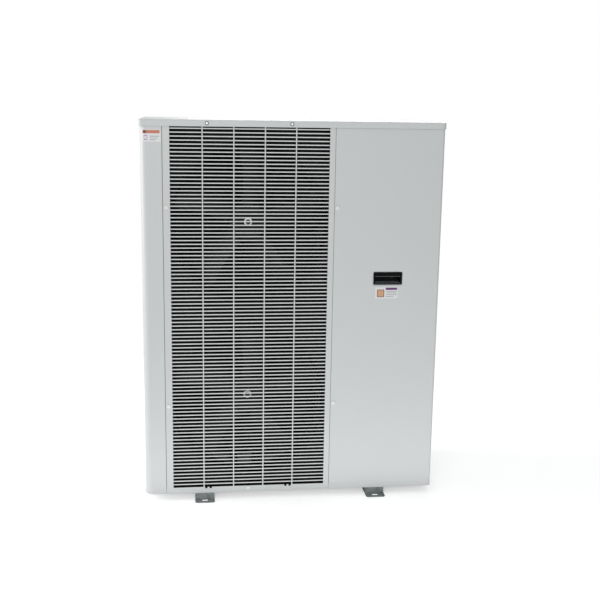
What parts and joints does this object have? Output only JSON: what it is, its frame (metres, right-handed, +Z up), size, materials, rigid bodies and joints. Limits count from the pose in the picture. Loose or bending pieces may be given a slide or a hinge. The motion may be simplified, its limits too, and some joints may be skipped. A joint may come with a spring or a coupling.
{
  "type": "refrigeration condensing unit",
  "caption": "Tall box-type air-cooled condensing unit with side-by-side fan and machine compartments, wire fan guard, lift-off service panel and slotted feet.",
  "frame": {"origin": "on the floor under the middle of the cabinet", "axes": "+X to the right seen from the front, +Y to the back, +Z up"},
  "size_m": [1.007, 0.492, 1.293],
  "materials": {
    "aluminium_tube": "drawn aluminium",
    "black_plastic": "fine-textured black moulding",
    "black_sheet": "matt black coated steel sheet",
    "brass": "forged brass",
    "bright_steel": "zinc-plated steel",
    "button_plastic": "red push button",
    "coil_fins": "thin aluminium fins",
    "compressor_paint": "black enamel on drawn steel",
    "copper": null,
    "drier_paint": "green enamel on steel",
    "fan_plastic": "glass-filled black polyamide",
    "galvanised": "zinc-coated steel sheet",
    "glass": "clear glass disc",
    "grey_coat": "satin light grey powder coat on steel sheet",
    "guard_coat": "satin light grey plastic-coated steel wire",
    "heater_silicone": "red-brown silicone belt",
    "light_plastic": "light grey moulding",
    "motor_coat": "black coated motor housing",
    "rubber": "black rubber"
  },
  "bodies": {
    "cabinet": {"base_pan": "grey_coat", "circuit_breaker": "light_plastic", "coil_guards": "guard_coat", "coil_headers": "aluminium_tube", "compressor": "compressor_paint", "compressor_bolts": "bright_steel", "compressor_grommets": "rubber", "compressor_terminal_box": "black_plastic", "condensate_pipe": "copper", "condenser_coil": "coil_fins", "contactor": "light_plastic", "control_box": "galvanised", "control_box_cover": "galvanised", "controller": "black_plastic", "crankcase_heater": "heater_silicone", "discharge_pipe": "copper", "fan_rings": "black_sheet", "fan_shroud": "black_sheet", "feet": "galvanised", "filter_drier": "drier_paint", "front_left_post": "grey_coat", "grille_panel": "grey_coat", "guard_cross_wires": "guard_coat", "header_rail": "grey_coat", "lid": "grey_coat", "liquid_pipe": "copper", "liquid_receiver": "compressor_paint", "liquid_valve": "brass", "lower_fan_motor": "motor_coat", "motor_plates": "black_sheet", "motor_rails": "black_sheet", "panel_grommets": "rubber", "panel_screws": "bright_steel", "partition": "galvanised", "pressure_switch": "light_plastic", "rear_left_post": "grey_coat", "rear_panel": "grey_coat", "receiver_clamp": "galvanised", "run_capacitor": "aluminium_tube", "side_panel": "grey_coat", "sight_glass": "brass", "sight_glass_window": "glass", "suction_pipe": "copper", "suction_valve": "brass", "terminal_block": "light_plastic", "upper_fan_motor": "motor_coat", "valve_bracket": "galvanised", "valve_caps": "brass", "wire_guard": "guard_coat"},
    "lower_fan_wheel": {"lower_fan": "fan_plastic", "lower_fan_shaft": "bright_steel", "lower_fan_nut": "bright_steel"},
    "upper_fan_wheel": {"upper_fan": "fan_plastic", "upper_fan_shaft": "bright_steel", "upper_fan_nut": "bright_steel"},
    "front_service_panel": {"service_panel": "grey_coat", "recessed_handle": "black_plastic", "service_screws": "bright_steel"},
    "breaker_lever": {"breaker_toggle": "black_plastic"},
    "pressure_reset": {"reset_button": "button_plastic"}
  },
  "joints": [
    {"name": "lower_fan_spin", "type": "hinge", "parent": "cabinet", "child": "lower_fan_wheel", "pos_m": [-0.1452, -0.071, 0.342], "axis": [0, 1, 0], "continuous": true},
    {"name": "upper_fan_spin", "type": "hinge", "parent": "cabinet", "child": "upper_fan_wheel", "pos_m": [-0.1452, -0.071, 0.952], "axis": [0, 1, 0], "continuous": true},
    {"name": "service_panel_pull", "type": "slide", "parent": "cabinet", "child": "front_service_panel", "axis": [0, -1, 0], "range_m": [0, 0.3]},
    {"name": "breaker_throw", "type": "hinge", "parent": "cabinet", "child": "breaker_lever", "pos_m": [0.204, -0.1332, 1.13], "axis": [1, 0, 0], "range_deg": [0, 50]},
    {"name": "reset_press", "type": "slide", "parent": "cabinet", "child": "pressure_reset", "axis": [0, 1, 0], "range_m": [0, 0.0025], "stiffness_N_per_m": 400, "springref_m": -0.002}
  ]
}
